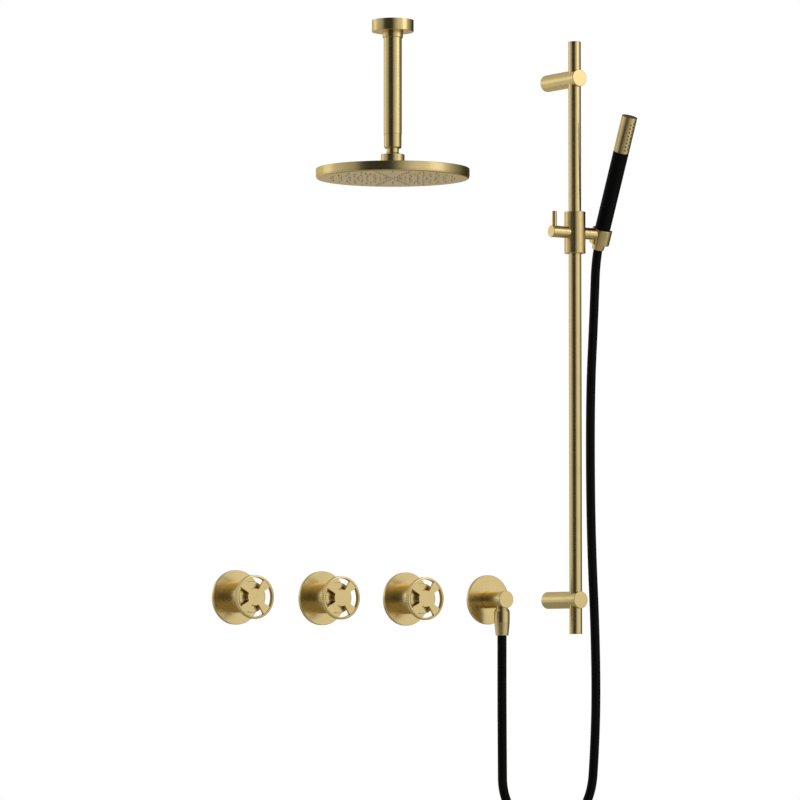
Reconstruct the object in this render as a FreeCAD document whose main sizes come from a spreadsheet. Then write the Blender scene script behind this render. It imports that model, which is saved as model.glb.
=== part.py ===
"""Shower set in brushed brass: ceiling rain head, three wall valves, hose outlet, slide rail and stick hand shower.

The row frame is +Z up with the finished wall on the plane Y = 0 and everything in front of it at -Y. The origin is on
the wall at the middle valve. Every sub-part is an object of one document, sized from the sheet Sizes.
"""
import FreeCAD, Part
import math
import os
import re

import Sketcher

Vector = FreeCAD.Vector
doc = FreeCAD.newDocument("ShowerSet")

# ---------------------------------------------------------------- driving dimensions, millimetres and degrees
SIZES = {
    # set-out on the wall and ceiling
    "valve_pitch": 150.0,
    "rail_pitch": 115.6,
    "ceiling_height": 822.7,
    "head_side": 75.0,
    "head_out": 307.5,
    "gap": 0.3,
    "fit": 0.1,
    "edge": 0.8,
    # rain head and ceiling arm
    "flange_dia": 60.0,
    "flange_thick": 16.6,
    "collar_dia": 29.3,
    "collar_tall": 8.5,
    "arm_dia": 26.0,
    "arm_bore": 21.0,
    "arm_length": 163.5,
    "thread_bore": 18.63,
    "thread_dia": 20.95,
    "thread_length": 14.0,
    "bush_tall": 11.0,
    "sleeve_tall": 21.0,
    "sleeve_taper": 2.0,
    "ball_dia": 24.0,
    "neck_gap": 2.0,
    "stem_dia": 17.6,
    "water_bore": 8.0,
    "nut_dia": 34.0,
    "nut_tall": 20.6,
    "nut_lip": 5.5,
    "well_room": 1.0,
    "well_drop": 2.0,
    "seat_inset": 2.1,
    "seat_drop": 8.0,
    "seat_tall": 3.5,
    "head_dia": 220.0,
    "rim_tall": 10.9,
    "lip_tall": 3.5,
    "shell_wall": 2.0,
    "inlet_dia": 16.0,
    "face_inset": 0.5,
    "mat_thick": 1.5,
    "nub_dia": 3.0,
    "nub_out": 1.8,
    "nub_hole": 3.6,
    "nozzle_pitch": 12.6,
    "nozzle_turn": 11.4,
    # wall valves
    "plate_dia": 80.0,
    "plate_thick": 5.0,
    "valve_dia": 36.0,
    "valve_deep": 30.0,
    "valve_bore": 20.0,
    "port_dia": 14.95,
    "seal_dia": 70.0,
    "seal_thick": 1.0,
    "sleeve_dia": 45.5,
    "sleeve_wall": 2.5,
    "sleeve_out": 49.5,
    "bonnet_dia": 30.0,
    "spindle_dia": 8.0,
    "spindle_drop": 8.0,
    "disc_room": 9.0,
    "chamber_deep": 6.0,
    "bonnet_tall": 8.0,
    "headwork_drop": 10.0,
    "wheel_dia": 64.0,
    "wheel_wall": 3.2,
    "wheel_deep": 6.8,
    "wheel_out": 58.5,
    "hub_dia": 24.5,
    "hub_under": 4.0,
    "spoke_thick": 4.0,
    "spoke_drop": 0.7,
    "spoke_angle": 33.0,
    "screw_dia": 5.0,
    "screw_drop": 12.0,
    "screw_gap": 0.2,
    "screw_recess": 1.0,
    # hose outlet
    "outlet_plate_dia": 75.0,
    "outlet_dia": 26.0,
    "outlet_out": 53.4,
    "outlet_drop_out": 41.4,
    "outlet_bore": 14.0,
    "spout_bore": 11.0,
    "outlet_spout_dia": 18.0,
    "outlet_spout_drop": 26.0,
    "nut_below": 1.5,
    "hose_nut_dia": 23.5,
    "hose_nut_end": 19.5,
    "hose_nut_length": 40.0,
    # slide rail
    "rail_dia": 19.5,
    "rail_wall": 1.5,
    "rail_out": 72.5,
    "rail_under": 50.0,
    "rail_over": 55.0,
    "bracket_spacing": 800.0,
    "bracket_dia": 26.0,
    "bracket_out": 86.0,
    "base_dia": 20.0,
    "base_thick": 6.0,
    "base_hole": 5.0,
    # slider, clamp and cradle
    "slider_height": 562.5,
    "slider_dia": 32.5,
    "slider_tall": 64.0,
    "bush_wall": 1.7,
    "shaft_dia": 18.0,
    "boss_out": 22.0,
    "knob_out": 45.0,
    "lever_dia": 7.6,
    "lever_side": 38.4,
    "lever_tall": 31.3,
    "stud_dia": 8.0,
    "stud_grip": 7.9,
    "pad_thick": 2.4,
    "pivot_dia": 6.0,
    "cradle_side": 50.0,
    "cradle_dia": 31.0,
    "cradle_up": 9.0,
    "cradle_down": 15.0,
    "cradle_slot": 15.0,
    "lean": 23.0,
    # hand shower
    "hand_dia": 24.0,
    "hand_wall": 2.0,
    "hand_top": 190.0,
    "hand_head_length": 57.0,
    "tube_dia": 12.0,
    "jet_pitch": 5.8,
    "jet_dia": 2.2,
    "jet_spread": 11.0,
    "upper_nut_dia": 23.4,
    "upper_nut_end": 18.4,
    "upper_nut_down": 24.0,
    # hose
    "hose_dia": 14.0,
}
JETS_PER_ROW = 8
NOZZLE_RINGS = 7
RADIAL_ROWS = 24
HALF_RINGS = 3
BUSH_OUTER = "(rail_dia + 2 * gap + 2 * bush_wall)"
HOSE_SOCKET = "(hose_dia + 2 * gap)"
SIDES = {"left": "-valve_pitch", "centre": "0", "right": "valve_pitch"}

sheet = doc.addObject("Spreadsheet::Sheet", "Sizes")
for row, (alias, value) in enumerate(SIZES.items(), start=1):
    sheet.set(f"A{row}", alias.replace("_", " "))
    sheet.set(f"B{row}", str(value))
    sheet.setAlias(f"B{row}", alias)
doc.recompute()


def bound(text):
    """The expression for a size given in sheet aliases."""
    return re.sub(r"[a-z_]+", lambda m: "Sizes." + m.group() if m.group() in SIZES else m.group(), str(text))


def size(text):
    """The number that such an expression has now."""
    return float(sheet.evalExpression(bound(text)))


def settle(part, label, place=("0", "0", "0"), turn=None, angle="0"):
    """Names a sub-part and puts it in the row frame, with its place bound to the sheet."""
    part.Label = label
    part.Placement = FreeCAD.Placement(Vector(), FreeCAD.Rotation(turn or Vector(0, 0, 1), size(angle)))
    for letter, text in zip("xyz", place):
        part.setExpression(f"Placement.Base.{letter}", bound(text))
    if turn:
        part.setExpression("Placement.Rotation.Angle", bound(angle))
    subparts.append(part)
    return part


def on_wall(part, label, across, height="0"):
    """A sub-part whose own +Z points out of the wall."""
    return settle(part, label, (across, "0", height), Vector(1, 0, 0), "90")


def plane(body, role):
    """One of a body's own origin planes or axes."""
    return next(f for f in body.Origin.OriginFeatures if f.Role == role)


def sketch_outline(body, role, corners):
    """A closed sketch of straight lines whose corners are bound to the sheet."""
    sketch = body.newObject("Sketcher::SketchObject", body.Name + "Outline")
    sketch.AttachmentSupport = [(plane(body, role), "")]
    sketch.MapMode = "FlatFace"
    points = [Vector(size(a), size(b), 0) for a, b in corners]
    count = len(points)
    for i in range(count):
        sketch.addGeometry(Part.LineSegment(points[i], points[(i + 1) % count]), False)
    for i in range(count):
        sketch.addConstraint(Sketcher.Constraint("Coincident", i, 2, (i + 1) % count, 1))
    for i, corner in enumerate(corners):
        for kind, text, value, axis in (
            ("DistanceX", corner[0], points[i].x, -2),
            ("DistanceY", corner[1], points[i].y, -1),
        ):
            if text == "0":
                sketch.addConstraint(Sketcher.Constraint("PointOnObject", i, 1, axis))
            else:
                number = sketch.addConstraint(Sketcher.Constraint(kind, -1, 1, i, 1, value))
                sketch.setExpression(f"Constraints[{number}]", bound(text))
    return sketch


def sketch_circle(body, role, dia, across="0", up="0", level="0"):
    """A sketch of one circle, at a level along its plane's normal."""
    sketch = body.newObject("Sketcher::SketchObject", body.Name + "Circle")
    sketch.AttachmentSupport = [(plane(body, role), "")]
    sketch.MapMode = "FlatFace"
    sketch.setExpression("AttachmentOffset.Base.z", bound(level))
    sketch.addGeometry(Part.Circle(Vector(size(across), size(up), 0), Vector(0, 0, 1), size(dia) / 2), False)
    radius = sketch.addConstraint(Sketcher.Constraint("Radius", 0, size(dia) / 2))
    sketch.setExpression(f"Constraints[{radius}]", bound(f"({dia}) / 2"))
    for kind, text, axis in (("DistanceX", across, -2), ("DistanceY", up, -1)):
        if text == "0":
            sketch.addConstraint(Sketcher.Constraint("PointOnObject", 0, 3, axis))
        else:
            number = sketch.addConstraint(Sketcher.Constraint(kind, -1, 1, 0, 3, size(text)))
            sketch.setExpression(f"Constraints[{number}]", bound(text))
    return sketch


def circle_edges(shape, corners):
    """The names of a turned shape's circular edges at the given radius and height corners."""
    names = []
    for radius, height in corners:
        for i, edge in enumerate(shape.Edges, start=1):
            curve = edge.Curve
            if isinstance(curve, Part.Circle) and abs(curve.Radius - size(radius)) < 1e-4:
                if abs(curve.Center.z - size(height)) < 1e-4 and abs(curve.Axis.z) > 0.999:
                    names.append(f"Edge{i}")
    return names


def turned(name, corners, rounds=(), radius="edge"):
    """A body turned about its own Z from (radius, height) corners; the corners listed in rounds are filleted."""
    body = doc.addObject("PartDesign::Body", name)
    outline = sketch_outline(body, "XZ_Plane", corners)
    spin = body.newObject("PartDesign::Revolution", name + "Turn")
    spin.Profile = outline
    spin.ReferenceAxis = (outline, ["V_Axis"])
    spin.Angle = 360
    doc.recompute()
    if rounds:
        fillet = body.newObject("PartDesign::Fillet", name + "Fillet")
        fillet.Base = (spin, circle_edges(spin.Shape, [corners[i] for i in rounds]))
        fillet.setExpression("Radius", bound(radius))
        doc.recompute()
    return body


def ring_corners(inner, outer, low, high):
    """The four corners of a plain ring, from its diameters and levels."""
    return [(f"({inner}) / 2", low), (f"({outer}) / 2", low), (f"({outer}) / 2", high), (f"({inner}) / 2", high)]


def disc_corners(outer, low, high):
    """The four corners of a plain disc."""
    return [("0", low), (f"({outer}) / 2", low), (f"({outer}) / 2", high), ("0", high)]


def pattern(body, feature, sketch, count):
    """Repeats a feature around the body's own Z."""
    polar = body.newObject("PartDesign::PolarPattern", feature.Name + "Ring")
    polar.Originals = [feature]
    polar.Axis = (sketch, ["N_Axis"])
    polar.Angle = 360
    polar.Occurrences = count
    body.Tip = polar
    return polar


def rod(name, dia, length, place=("0", "0", "0"), along="Z"):
    """A cylinder along one axis, with its size and place bound to the sheet."""
    part = doc.addObject("Part::Cylinder", name)
    part.setExpression("Radius", bound(f"({dia}) / 2"))
    part.setExpression("Height", bound(length))
    turns = {"Z": FreeCAD.Rotation(), "X": FreeCAD.Rotation(Vector(0, 1, 0), 90)}
    turns["Y"] = FreeCAD.Rotation(Vector(1, 0, 0), -90)
    part.Placement = FreeCAD.Placement(Vector(), turns[along])
    for letter, text in zip("xyz", place):
        part.setExpression(f"Placement.Base.{letter}", bound(text))
    return part


def sphere(name, dia, level):
    """A ball on the Z axis."""
    part = doc.addObject("Part::Sphere", name)
    part.setExpression("Radius", bound(f"({dia}) / 2"))
    part.setExpression("Placement.Base.z", bound(level))
    return part


def cuboid(name, wide, deep, tall, place):
    """A box centred across Y, with its corner and size bound to the sheet."""
    part = doc.addObject("Part::Box", name)
    part.setExpression("Length", bound(wide))
    part.setExpression("Width", bound(deep))
    part.setExpression("Height", bound(tall))
    for letter, text in zip("xyz", (place[0], f"{place[1]} - ({deep}) / 2", place[2])):
        part.setExpression(f"Placement.Base.{letter}", bound(text))
    return part


def joined(name, parts):
    """Several shapes fused into one solid."""
    fuse = doc.addObject("Part::MultiFuse", name)
    fuse.Shapes = parts
    return fuse


def cut(name, base, *tools):
    """A shape with others cut out of it."""
    result = doc.addObject("Part::Cut", name)
    result.Base = base
    result.Tool = tools[0] if len(tools) == 1 else joined(name + "Tools", list(tools))
    return result


def group(name, parts):
    """Identical pieces that share one node as separate solids."""
    bundle = doc.addObject("Part::Compound", name)
    bundle.Links = parts
    return bundle


subparts = []

# ---------------------------------------------------------------- levels of the ceiling set, from its lowest face up
HEAD_TOP = "(lip_tall + rim_tall)"
NUT_TOP = f"({HEAD_TOP} + nut_tall)"
BALL = f"({NUT_TOP} - nut_lip)"
SLEEVE_LOW = f"({BALL} + ball_dia / 2 + neck_gap)"
SEAM = f"({SLEEVE_LOW} + sleeve_tall)"
CEILING = f"({SEAM} + arm_length)"
COLLAR_TOP = f"({CEILING} - flange_thick)"
COLLAR_LOW = f"({COLLAR_TOP} - collar_tall)"
THREAD_LOW = f"({CEILING} - bush_tall)"


def hung(part, label):
    """A sub-part on the ceiling arm's axis."""
    return settle(part, label, ("-head_side", "-head_out", f"ceiling_height - {CEILING}"))


def build_ceiling_arm():
    """The flange, collar, threaded bush, arm tube, its lower sleeve and the ball stem."""
    flange = ring_corners("arm_dia + 2 * gap", "flange_dia", COLLAR_TOP, CEILING)
    hung(turned("CeilingFlange", flange, (1,)), "ceiling_flange")
    collar = ring_corners("arm_dia + 2 * gap", "collar_dia", COLLAR_LOW, f"{COLLAR_TOP} - fit")
    ring = turned("ArmCollar", collar, (1,))
    middle = f"{COLLAR_LOW} + collar_tall / 2"
    thread = rod("CollarThread", "screw_dia", "collar_dia", ("0", "0", middle), "X")
    hung(cut("ArmCollarDrilled", ring, thread), "arm_collar")
    bush = ring_corners("thread_bore", "arm_dia", THREAD_LOW, CEILING)
    hung(turned("CeilingBush", bush), "ceiling_bush")
    tube = ring_corners("arm_bore", "arm_dia", SEAM, f"{THREAD_LOW} - fit")
    hung(turned("ShowerArm", tube), "shower_arm")
    outline = [
        ("stem_dia / 2", SLEEVE_LOW),
        ("arm_dia / 2 - sleeve_taper", SLEEVE_LOW),
        ("arm_dia / 2 - edge / 2", f"{SLEEVE_LOW} + sleeve_taper"),
        ("arm_dia / 2 - edge / 2", f"{SEAM} - edge"),
        ("arm_dia / 2", f"{SEAM} - edge"),
        ("arm_dia / 2", f"{SEAM} - 2 * fit"),
        ("arm_bore / 2", f"{SEAM} - 2 * fit"),
        ("arm_bore / 2", f"{SEAM} + thread_length"),
        ("stem_dia / 2", f"{SEAM} + thread_length"),
    ]
    hung(turned("ArmSleeve", outline), "arm_sleeve")
    ball = sphere("StemBall", "ball_dia", BALL)
    stem = rod("StemRod", "stem_dia", f"{SEAM} + thread_length - {BALL}", ("0", "0", BALL))
    bore = rod("StemBore", "water_bore", f"ball_dia + {SEAM} + thread_length - {BALL}", ("0", "0", f"{BALL} - ball_dia"))
    hung(cut("BallStem", joined("StemBlank", [ball, stem]), bore), "ball_stem")


def nozzles_in_ring(ring):
    """One nozzle at the centre, then rows on every second radial line near it and on every line further out."""
    if ring == 0:
        return 1
    return RADIAL_ROWS // 2 if ring <= HALF_RINGS else RADIAL_ROWS


def build_rain_head():
    """The swivel nut and its seat, the shell, the face plate and the rubber nozzle mat."""
    seat_top = f"({BALL} - seat_drop)"
    seat = turned("SeatBlank", ring_corners("water_bore", "ball_dia - 2 * seat_inset", f"{seat_top} - seat_tall", seat_top))
    hung(cut("BallSeat", seat, sphere("SeatHollow", "ball_dia + gap", BALL)), "ball_seat")
    blank = turned("NutBlank", disc_corners("nut_dia", HEAD_TOP, NUT_TOP), (2,))
    hollow = sphere("NutHollow", "ball_dia + 2 * gap", BALL)
    well = rod("NutWell", "ball_dia + well_room", "nut_tall - nut_lip - well_drop", ("0", "0", HEAD_TOP))
    hung(cut("SwivelNut", blank, hollow, well), "swivel_nut")
    under = f"{HEAD_TOP} - shell_wall"
    shell = [
        ("inlet_dia / 2", under),
        ("inlet_dia / 2", HEAD_TOP),
        ("head_dia / 2", HEAD_TOP),
        ("head_dia / 2", "lip_tall"),
        ("head_dia / 2 - shell_wall", "lip_tall"),
        ("head_dia / 2 - shell_wall", under),
    ]
    hung(turned("HeadShell", shell, (2,)), "head_shell")
    plate = turned("FacePlate", disc_corners("head_dia - 2 * face_inset", "0", "lip_tall - fit"), (1,), "lip_tall - 1")
    mat_level = "(lip_tall + nub_out)"
    mat_dia = f"nozzle_pitch * {2 * NOZZLE_RINGS + 1}"
    mat = turned("NozzleMat", disc_corners(mat_dia, mat_level, f"{mat_level} + mat_thick"))
    for ring in range(NOZZLE_RINGS + 1):
        count = nozzles_in_ring(ring)
        across = f"nozzle_pitch * {ring} * cos(nozzle_turn)" if ring else "0"
        up = f"nozzle_pitch * {ring} * sin(nozzle_turn)" if ring else "0"
        hole = sketch_circle(plate, "XY_Plane", "nub_hole", across, up)
        pocket = plate.newObject("PartDesign::Pocket", f"FaceHole{ring}x")
        pocket.Profile = hole
        pocket.Reversed = True
        pocket.setExpression("Length", bound("lip_tall"))
        nub = sketch_circle(mat, "XY_Plane", "nub_dia", across, up)
        pad = mat.newObject("PartDesign::Pad", f"Nub{ring}x")
        pad.Profile = nub
        pad.setExpression("Length", bound(f"{mat_level} + mat_thick / 2"))
        if count > 1:
            pattern(plate, pocket, hole, count)
            pattern(mat, pad, nub, count)
    doc.recompute()
    hung(plate, "face_plate")
    settle(mat, "nozzle_mat", ("-head_side", "-head_out", f"ceiling_height - {CEILING} - nub_out"))


def build_valve(side, across):
    """One wall valve: body in the wall, bonnet, seal plate, sleeve, spindle, wheel handle and its screw."""
    blank = turned("ValveBlank" + side, disc_corners("valve_dia", "-valve_deep", "0"), (1,), "edge * 2")
    bore = rod("ValveBore" + side, "valve_bore", "valve_deep", ("0", "0", "-valve_deep / 2 - chamber_deep"))
    ports = rod("ValvePorts" + side, "port_dia", "valve_dia + 2", ("0", "-valve_dia / 2 - 1", "-valve_deep / 2"), "Y")
    on_wall(cut("ValveBody" + side, blank, bore, ports), "valve_body_" + side, across)
    spindle_hole = "(spindle_dia + 2 * gap) / 2"
    bonnet = [
        (spindle_hole, "-valve_deep / 2 + disc_room"),
        ("valve_bore / 2 - gap / 2", "-valve_deep / 2 + disc_room"),
        ("valve_bore / 2 - gap / 2", "2 * fit"),
        ("bonnet_dia / 2", "2 * fit"),
        ("bonnet_dia / 2", "plate_thick + bonnet_tall"),
        ("valve_bore / 2 - gap", "plate_thick + bonnet_tall"),
        ("valve_bore / 2 - gap", "sleeve_out - headwork_drop"),
        (spindle_hole, "sleeve_out - headwork_drop"),
    ]
    on_wall(turned("Headwork" + side, bonnet), "headwork_" + side, across)
    plate = ring_corners("bonnet_dia + 2 * gap", "plate_dia", "seal_thick", "seal_thick + plate_thick")
    on_wall(turned("WallPlate" + side, plate, (2,)), "wall_plate_" + side, across)
    sleeve_low = "seal_thick + plate_thick + fit"
    sleeve = [
        ("sleeve_dia / 2 - sleeve_wall", sleeve_low),
        ("sleeve_dia / 2", sleeve_low),
        ("sleeve_dia / 2", "sleeve_out"),
        ("hub_dia / 2 + gap", "sleeve_out"),
        ("hub_dia / 2 + gap", "sleeve_out - sleeve_wall"),
        ("sleeve_dia / 2 - sleeve_wall", "sleeve_out - sleeve_wall"),
    ]
    on_wall(turned("Sleeve" + side, sleeve, (2,)), "sleeve_" + side, across)
    spindle = disc_corners("spindle_dia", "-valve_deep / 2 + disc_room - screw_recess", "wheel_out - spindle_drop")
    on_wall(turned("Spindle" + side, spindle), "spindle_" + side, across)
    on_wall(build_wheel(side), "wheel_" + side, across)
    screw = rod("WheelScrew" + side, "screw_dia", "(hub_dia - spindle_dia) / 2 - screw_gap - screw_recess",
                ("spindle_dia / 2 + screw_gap", "0", "wheel_out - screw_drop"), "X")
    on_wall(group("WheelScrewSet" + side, [screw]), "wheel_screw_" + side, across)


def build_wheel(side):
    """The handle: a hub, four wedge spokes on the diagonals and a deep outer ring."""
    face = "(wheel_out - spoke_drop)"
    hub = turned("WheelHub" + side, disc_corners("hub_dia", "sleeve_out - sleeve_wall - hub_under", face))
    rim_corners = ring_corners("wheel_dia - 2 * wheel_wall", "wheel_dia", "wheel_out - wheel_deep", "wheel_out")
    rim = turned("WheelRim" + side, rim_corners, (2, 3), "edge")
    spokes = doc.addObject("PartDesign::Body", "WheelSpokes" + side)
    reach = "((wheel_dia - wheel_wall) / 2)"
    near = "(hub_dia / 4)"
    half = "spoke_angle / 2"
    corners = [
        (f"{near} * cos(45 - {half})", f"{near} * sin(45 - {half})"),
        (f"{reach} * cos(45 - {half})", f"{reach} * sin(45 - {half})"),
        (f"{reach} * cos(45 + {half})", f"{reach} * sin(45 + {half})"),
        (f"{near} * cos(45 + {half})", f"{near} * sin(45 + {half})"),
    ]
    outline = sketch_outline(spokes, "XY_Plane", corners)
    outline.setExpression("AttachmentOffset.Base.z", bound(f"{face} - spoke_thick"))
    pad = spokes.newObject("PartDesign::Pad", "Spoke" + side)
    pad.Profile = outline
    pad.setExpression("Length", bound("spoke_thick"))
    pattern(spokes, pad, outline, 4)
    core = rod("SpokeCore" + side, "hub_dia / 1.5", "spoke_thick", ("0", "0", f"{face} - spoke_thick"))
    socket = rod("WheelSocket" + side, "spindle_dia + fit", "wheel_out", ("0", "0", "-spindle_drop"))
    tapped = rod("WheelTapped" + side, "screw_dia + fit", "hub_dia", ("0", "0", "wheel_out - screw_drop"), "X")
    return cut("Wheel" + side, joined("WheelBlank" + side, [hub, rim, spokes, core]), socket, tapped)


def build_outlet():
    """The wall plate, elbow body, threaded tail, check valve and lower hose nut of the hose outlet."""
    across = "2 * valve_pitch"
    plate = ring_corners("outlet_dia + 2 * gap", "outlet_plate_dia", "seal_thick", "seal_thick + plate_thick")
    on_wall(turned("OutletPlate", plate, (2,)), "outlet_plate", across)
    post = turned("OutletPost", disc_corners("outlet_dia", "seal_thick", "outlet_out"), (2,))
    spout = rod("OutletSpout", "outlet_spout_dia", "outlet_spout_drop",
                ("0", "-outlet_spout_drop", "outlet_drop_out"), "Y")
    along = rod("OutletAlong", "outlet_bore", "outlet_drop_out + outlet_bore / 2")
    down = rod("OutletDown", "spout_bore", "outlet_spout_drop + 1",
               ("0", "-outlet_spout_drop - 1", "outlet_drop_out"), "Y")
    blank = joined("OutletBlank", [post, spout])
    on_wall(cut("OutletElbow", blank, along, down), "outlet_elbow", across)
    tail = ring_corners("outlet_bore", "thread_dia", "-thread_length", "seal_thick - fit")
    on_wall(turned("OutletTail", tail), "outlet_tail", across)
    valve = ring_corners("water_bore", "outlet_bore - 2 * gap", "seal_thick + 2", "seal_thick + 14")
    on_wall(turned("CheckValve", valve), "check_valve", across)
    top = "hose_nut_length"
    spout_end = f"({top} - (outlet_spout_drop - outlet_dia / 2 - nut_below) - 1)"
    nut = [
        (f"{HOSE_SOCKET} / 2", "0"),
        ("hose_nut_end / 2", "0"),
        ("hose_nut_dia / 2", f"{top} * 0.5"),
        ("hose_nut_dia / 2", f"{top} - 3.5"),
        ("outlet_spout_dia / 2 + 1", top),
        ("outlet_spout_dia / 2 + gap", top),
        ("outlet_spout_dia / 2 + gap", spout_end),
        ("water_bore / 2", spout_end),
        ("water_bore / 2", f"{top} / 2 - 2"),
        (f"{HOSE_SOCKET} / 2", f"{top} / 2 - 2"),
    ]
    lower = turned("HoseNutLower", nut, (1,), "edge / 2")
    settle(lower, "hose_nut_lower", (across, "-outlet_drop_out", "-outlet_dia / 2 - nut_below - hose_nut_length"))


def build_rail():
    """The rail tube and its end caps on two posts, with the posts' wall bases."""
    across = "(2 * valve_pitch + rail_pitch)"
    tube = ring_corners("rail_dia - 2 * rail_wall", "rail_dia", "-rail_under", "bracket_spacing + rail_over")
    settle(turned("RailTube", tube), "rail_tube", (across, "-rail_out", "0"))
    caps = []
    for name, low, high in (
        ("CapLow", "-rail_under - 2", "-rail_under - fit"),
        ("CapHigh", "bracket_spacing + rail_over + fit", "bracket_spacing + rail_over + 2"),
    ):
        outer = 1 if name == "CapLow" else 2
        caps.append(turned(name, disc_corners("rail_dia", low, high), (outer,), "edge / 2"))
    settle(group("RailCaps", caps), "rail_caps", (across, "-rail_out", "0"))
    for name, height in (("lower", "0"), ("upper", "bracket_spacing")):
        post = turned("Post" + name, disc_corners("bracket_dia", "0", "bracket_out"), (2,))
        recess = rod("PostRecess" + name, "base_dia + 2 * gap", "base_thick + gap", ("0", "0", "0"))
        hole = rod("PostHole" + name, "rail_dia + gap", "bracket_dia + 2", ("0", "-bracket_dia / 2 - 1", "rail_out"), "Y")
        tapped = rod("PostTapped" + name, "screw_dia + fit", "bracket_dia", ("0", "0", "rail_out"), "X")
        on_wall(cut("Bracket" + name, post, recess, hole, tapped), "bracket_" + name, across, height)
    bases = []
    for name, height in (("Low", "0"), ("High", "bracket_spacing")):
        base = turned("Base" + name, ring_corners("base_hole", "base_dia", "0", "base_thick"))
        base.setExpression("Placement.Base.y", bound(height))
        bases.append(base)
    on_wall(group("BracketBases", bases), "bracket_bases", across)


def build_fasteners():
    """The seals behind the plates and the small socket screws of the brackets and the collar."""
    seals = []
    for name, across in (*SIDES.items(), ("outlet", "2 * valve_pitch")):
        seal = turned("Seal" + name, ring_corners("bonnet_dia + 8", "seal_dia", "0", "seal_thick"))
        seal.setExpression("Placement.Base.x", bound(across))
        seals.append(seal)
    on_wall(group("PlateSeals", seals), "plate_seals", "0")
    rail = "2 * valve_pitch + rail_pitch"
    reach = "bracket_dia / 2 - rail_dia / 2 - gap - 0.6"
    screws = [
        rod("ScrewLow", "screw_dia", reach, (f"{rail} + rail_dia / 2 + gap", "-rail_out", "0"), "X"),
        rod("ScrewHigh", "screw_dia", reach, (f"{rail} + rail_dia / 2 + gap", "-rail_out", "bracket_spacing"), "X"),
        rod("ScrewCollar", "screw_dia - fit", "(collar_dia - arm_dia) / 2 - gap",
            ("-head_side + arm_dia / 2 + fit", "-head_out", "ceiling_height - flange_thick - collar_tall / 2"), "X"),
    ]
    settle(group("GrubScrews", screws), "grub_screws")


def build_slider():
    """The slider body with its liner, clamp pad and pivot, the clamp knob with its lever, and the cradle."""
    across = "(2 * valve_pitch + rail_pitch)"
    spot = (across, "-rail_out", "slider_height")
    half = "slider_tall / 2"
    blank = turned("SliderBlank", disc_corners("slider_dia", f"-{half}", half), (1, 2))
    boss = rod("SliderBoss", "shaft_dia", "2 * boss_out", ("-boss_out", "0", "0"), "X")
    bore = rod("SliderBore", BUSH_OUTER, "slider_tall - 4", ("0", "0", f"-{half} + 2"))
    way = rod("SliderWay", "rail_dia + 4 * gap", "slider_tall + 2", ("0", "0", f"-{half} - 1"))
    stud_way = rod("StudWay", "stud_dia + 2 * gap", "boss_out + 1", ("-boss_out - 1", "0", "0"), "X")
    pin_way = rod("PinWay", "pivot_dia + gap / 3", "boss_out + 1", ("0", "0", "0"), "X")
    settle(cut("SliderBody", joined("SliderSolid", [blank, boss]), bore, way, stud_way, pin_way), "slider_body", spot)
    liner = turned("LinerBlank", ring_corners("rail_dia + 2 * gap", BUSH_OUTER, f"-{half} + 2 + fit", f"{half} - 2 - fit"))
    liner_hole = rod("LinerHole", "stud_dia + 2 * gap", "slider_dia", ("-slider_dia", "0", "0"), "X")
    settle(cut("SliderBush", liner, liner_hole), "slider_bush", spot)
    pad = rod("PadRod", "stud_dia - gap", "pad_thick", ("-rail_dia / 2 - gap - pad_thick", "0", "0"), "X")
    settle(group("ClampPad", [pad]), "clamp_pad", spot)
    pin = rod("PinRod", "pivot_dia", "14", (f"{BUSH_OUTER} / 2 + gap", "0", "0"), "X")
    settle(group("HolderPivot", [pin]), "holder_pivot", spot)

    knob = turned("KnobBlank", disc_corners("shaft_dia", "boss_out + gap", "knob_out"), (2,))
    knob.Placement = FreeCAD.Placement(Vector(), FreeCAD.Rotation(Vector(0, 1, 0), -90))
    knob_bore = rod("KnobBore", "stud_dia", "stud_grip + fit", ("-boss_out - gap - stud_grip - fit", "0", "0"), "X")
    lever_bore = rod("LeverBore", "lever_dia + fit", "shaft_dia", ("-lever_side", "0", "2"))
    settle(cut("ClampKnob", knob, knob_bore, lever_bore), "clamp_knob", spot)
    stud = rod("StudRod", "stud_dia", "boss_out + stud_grip - rail_dia / 2 - pad_thick - 2 * fit",
               ("-boss_out - gap - stud_grip", "0", "0"), "X")
    settle(group("ClampStud", [stud]), "clamp_stud", spot)
    lever = turned("LeverRod", disc_corners("lever_dia", "2 + fit", "lever_tall"), (2,), "edge / 2")
    settle(lever, "clamp_lever", (f"{across} - lever_side", "-rail_out", "slider_height"))


CRADLE_SPOT = ("2 * valve_pitch + rail_pitch + cradle_side", "-rail_out", "slider_height")


def leaned(part, label):
    """A sub-part on the hand shower's axis, which leans out from the wall at the top."""
    return settle(part, label, CRADLE_SPOT, Vector(1, 0, 0), "lean")


def build_cradle():
    """The holder: a short arm and a slotted, tapered cup, cut in one with the arm."""
    cup = turned("CradleCup", disc_corners("cradle_dia", "-cradle_down", "cradle_up"), (1, 2), "edge")
    arm = rod("CradleArm", "shaft_dia", "cradle_side - boss_out - gap",
              ("-(cradle_side - boss_out - gap)", "0", "0"), "X")
    slope = "((upper_nut_dia - upper_nut_end) / (upper_nut_down + cradle_up))"
    seat = [
        ("0", "-cradle_down - 1"),
        (f"(upper_nut_dia - {slope} * (cradle_up + cradle_down + 1)) / 2 + gap", "-cradle_down - 1"),
        (f"(upper_nut_dia + {slope}) / 2 + gap", "cradle_up + 1"),
        ("0", "cradle_up + 1"),
    ]
    slot = cuboid("CradleSlot", "cradle_dia", "cradle_slot", "cradle_up + cradle_down + 2",
                  ("0", "0", "-cradle_down - 1"))
    arm_bore = rod("CradlePinWay", "pivot_dia + gap", "7", ("-(cradle_side - boss_out - gap)", "0", "0"), "X")
    leaned(cut("HolderCradle", joined("CradleSolid", [cup, arm]), turned("CradleSeat", seat), slot, arm_bore),
           "holder_cradle")


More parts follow.
